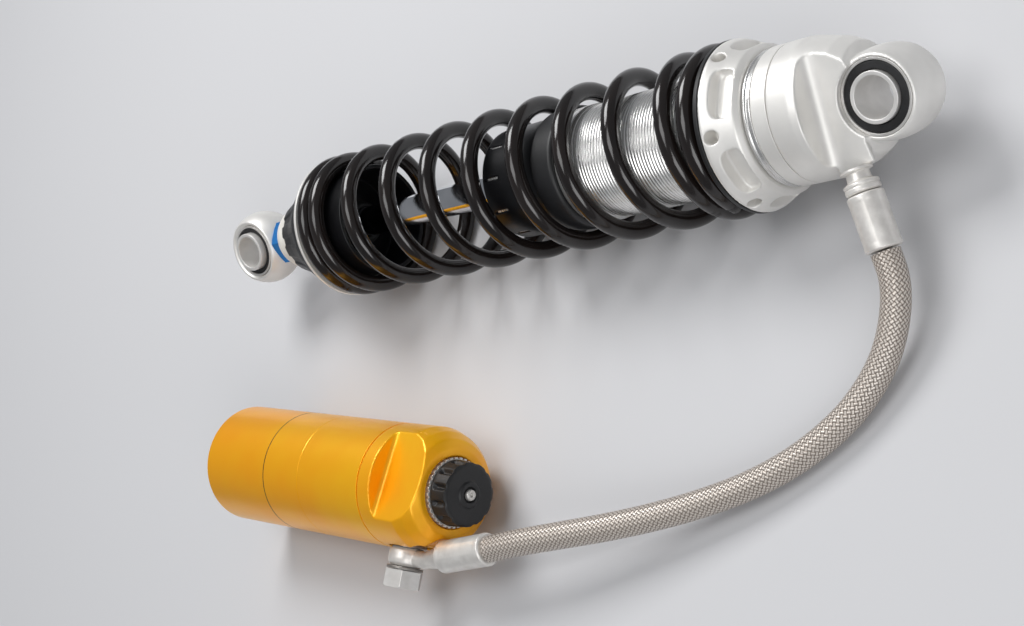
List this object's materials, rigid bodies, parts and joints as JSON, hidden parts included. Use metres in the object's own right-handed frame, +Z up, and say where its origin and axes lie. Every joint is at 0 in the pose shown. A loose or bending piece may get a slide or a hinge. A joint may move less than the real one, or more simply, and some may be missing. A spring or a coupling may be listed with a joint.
{
  "type": "rear shock absorber",
  "caption": "Coil-over motorcycle rear shock absorber with threaded preload ring, adjusters at both ends and a remote gas reservoir on a braided hose.",
  "frame": {"origin": "on the surface that the part lies on, under the middle of its footprint", "axes": "+X along the damper from its lower eye to its upper eye, -Y towards the reservoir, +Z up"},
  "size_m": [0.4053, 0.208, 0.0677],
  "materials": {
    "clear_anodised": "satin clear anodised",
    "black_anodised": "satin black anodised",
    "gold_anodised": "satin gold anodised",
    "blue_anodised": "satin blue anodised",
    "spring_enamel": "gloss black enamel",
    "chrome": "hard chrome, ground",
    "steel": "machined, zinc plated",
    "bronze": "sintered bronze",
    "rubber": "matte moulded",
    "seal_rubber": "moulded",
    "black_plastic": "satin moulded",
    "ptfe": "smooth",
    "braid": "braided stainless wire under a clear cover"
  },
  "bodies": {
    "damper_body": {"body_tube": "clear_anodised", "spring_guide": "black_plastic", "end_cap": "black_anodised", "shaft_wiper": "seal_rubber", "seal_head": "steel", "shaft_seal": "seal_rubber", "guide_bush": "bronze", "head_lock_ring": "clear_anodised", "top_head": "clear_anodised", "upper_bush": "rubber", "port_adapter": "clear_anodised", "upper_crimp_sleeve": "clear_anodised", "hose": "braid", "lower_crimp_sleeve": "clear_anodised", "banjo_fitting": "clear_anodised", "inner_washer": "steel", "outer_washer": "steel", "banjo_bolt": "steel", "reservoir_tube": "gold_anodised", "reservoir_end_cap": "black_anodised", "gas_valve": "steel", "end_cap_circlip": "steel", "reservoir_head": "gold_anodised", "compression_valve": "steel", "detent_ring": "steel", "coil_spring": "spring_enamel"},
    "shaft_assembly": {"shaft": "chrome", "rebound_rod": "steel", "top_out_washer": "rubber", "rebound_shims": "steel", "piston": "gold_anodised", "piston_band": "ptfe", "compression_shims": "steel", "piston_nut": "steel", "bump_stop": "rubber", "lower_spring_seat": "black_anodised", "end_piece": "black_anodised", "seat_collar": "clear_anodised", "lock_nut": "blue_anodised"},
    "rebound_adjuster": {"rebound_knob": "black_plastic"},
    "lower_eye_end": {"lower_eye": "clear_anodised", "lower_bush": "rubber"},
    "lower_bolt_sleeve": {"lower_sleeve": "steel"},
    "upper_bolt_sleeve": {"upper_sleeve": "steel"},
    "spring_bearing": {"spring_platform": "black_plastic"},
    "preload_adjuster": {"preload_ring": "clear_anodised"},
    "compression_adjuster": {"compression_knob": "black_plastic", "knob_screw": "steel"},
    "gas_piston": {"floating_piston": "clear_anodised", "floating_piston_seal": "seal_rubber"}
  },
  "joints": [
    {"name": "stroke", "type": "slide", "parent": "damper_body", "child": "shaft_assembly", "axis": [1, 0, 0], "range_m": [0, 0.075], "stiffness_N_per_m": 5000, "deforming": ["coil_spring"]},
    {"name": "length_adjust", "type": "slide", "parent": "shaft_assembly", "child": "lower_eye_end", "axis": [-1, 0, 0], "range_m": [0, 0.008]},
    {"name": "lower_eye_twist", "type": "hinge", "parent": "lower_eye_end", "child": "lower_bolt_sleeve", "pos_m": [-0.1864, 0.07, 0.0339], "axis": [0, -0.5446, 0.8387], "range_deg": [-15, 15], "stiffness_Nm_per_rad": 2},
    {"name": "upper_eye_twist", "type": "hinge", "parent": "damper_body", "child": "upper_bolt_sleeve", "pos_m": [0.1838, 0.07, 0.0339], "axis": [0, -0.5446, 0.8387], "range_deg": [-15, 15], "stiffness_Nm_per_rad": 2},
    {"name": "preload", "type": "slide", "parent": "damper_body", "child": "spring_bearing", "axis": [-1, 0, 0], "range_m": [0, 0.012], "deforming": ["coil_spring"]},
    {"name": "preload_turn", "type": "hinge", "parent": "spring_bearing", "child": "preload_adjuster", "pos_m": [0.13, 0.07, 0.0339], "axis": [1, 0, 0], "range_deg": [0, 2880]},
    {"name": "rebound_turn", "type": "hinge", "parent": "shaft_assembly", "child": "rebound_adjuster", "pos_m": [-0.14, 0.07, 0.0339], "axis": [1, 0, 0], "range_deg": [0, 1080]},
    {"name": "compression_turn", "type": "hinge", "parent": "damper_body", "child": "compression_adjuster", "pos_m": [-0.02086, -0.06424, 0.0272], "axis": [0.9893, -0.1461, 0], "range_deg": [0, 1080]},
    {"name": "gas_piston_slide", "type": "slide", "parent": "damper_body", "child": "gas_piston", "axis": [-0.9893, 0.1461, 0], "range_m": [0, 0.006]}
  ],
  "couplings": [
    {"joint": "preload", "follows": "preload_turn", "m_per_rad": 0.00023873},
    {"joint": "gas_piston_slide", "follows": "stroke", "ratio": 0.0793}
  ]
}
